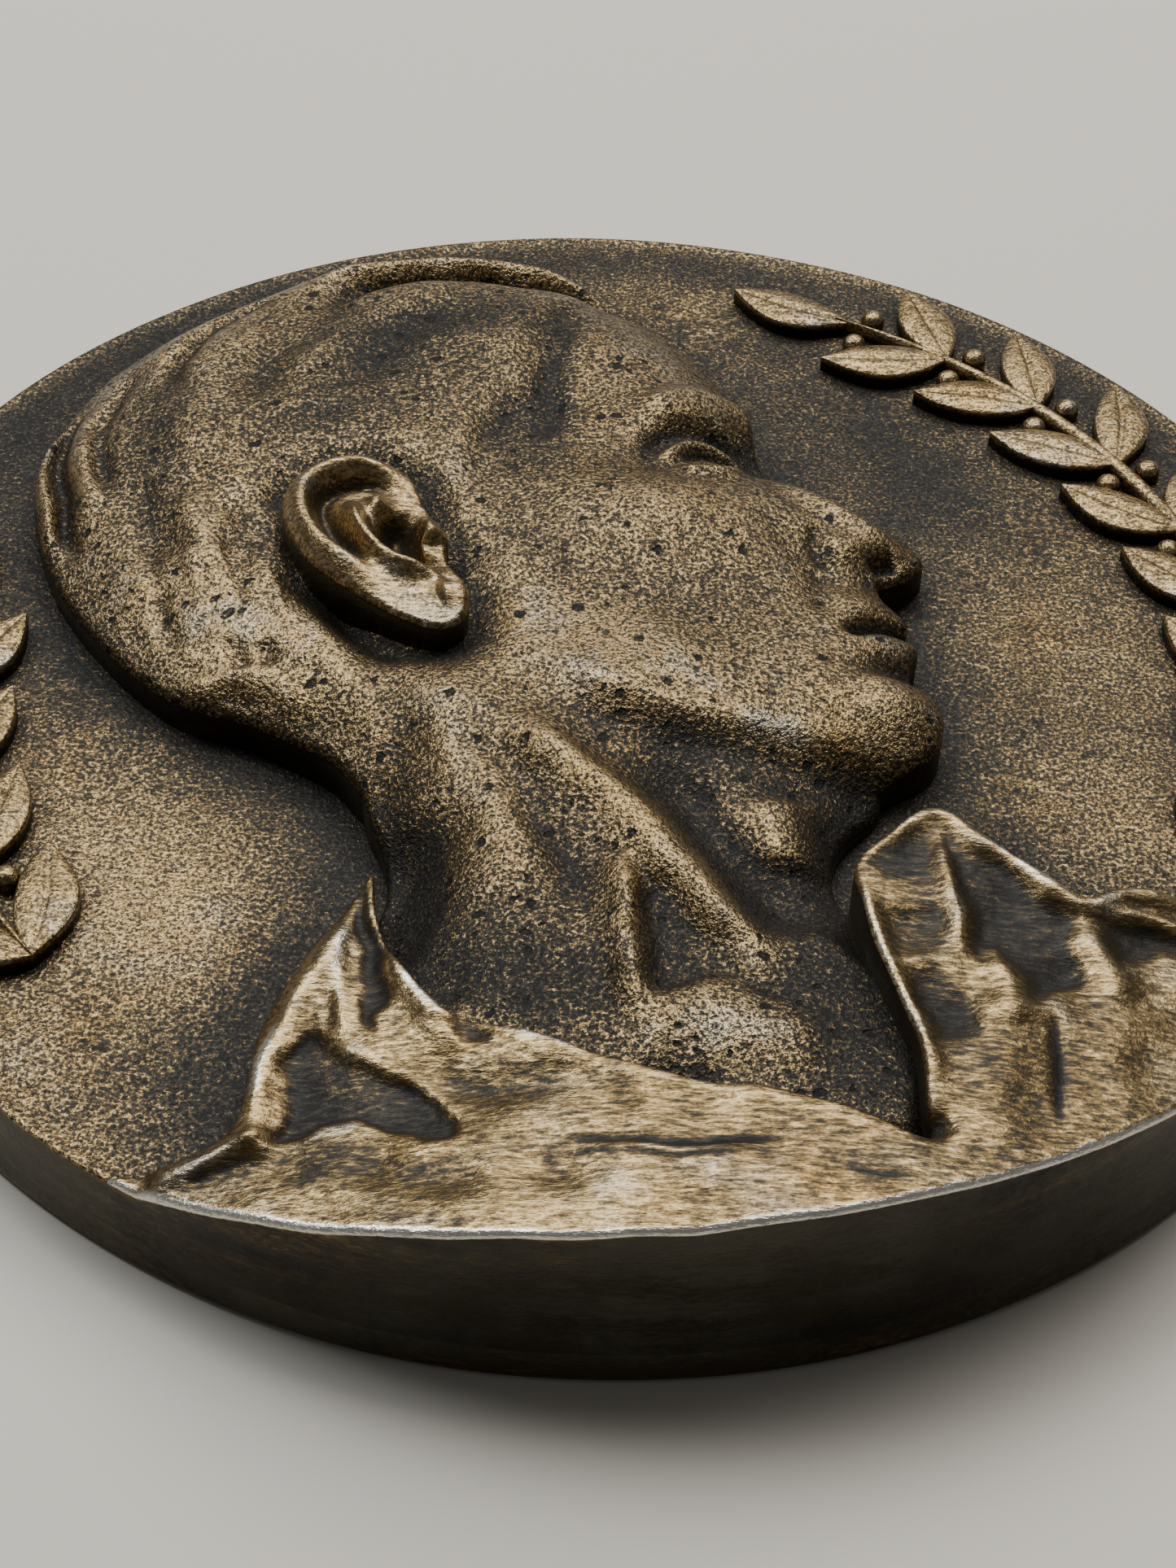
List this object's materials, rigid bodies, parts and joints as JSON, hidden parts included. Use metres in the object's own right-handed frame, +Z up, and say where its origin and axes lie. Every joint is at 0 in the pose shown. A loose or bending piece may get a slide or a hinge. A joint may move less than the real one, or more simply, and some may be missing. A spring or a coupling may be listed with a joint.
{
  "type": "commemorative medal",
  "caption": "Round cast bronze table medal with a raised head in profile facing right, coat and collar cut off by the edge, leaf sprays along the rim and a plain back.",
  "frame": {"origin": "centre of the flat back, on the surface the medal lies on", "axes": "+Z up, out of the side with the portrait; +X to the right of the portrait, the way the face looks; +Y towards the top of the portrait"},
  "size_m": [0.07, 0.07, 0.0103],
  "materials": {
    "bronze": "cast bronze with a dark brown patina, worn golden on the high points"
  },
  "bodies": {
    "root": {"medal": "bronze"}
  },
  "joints": []
}
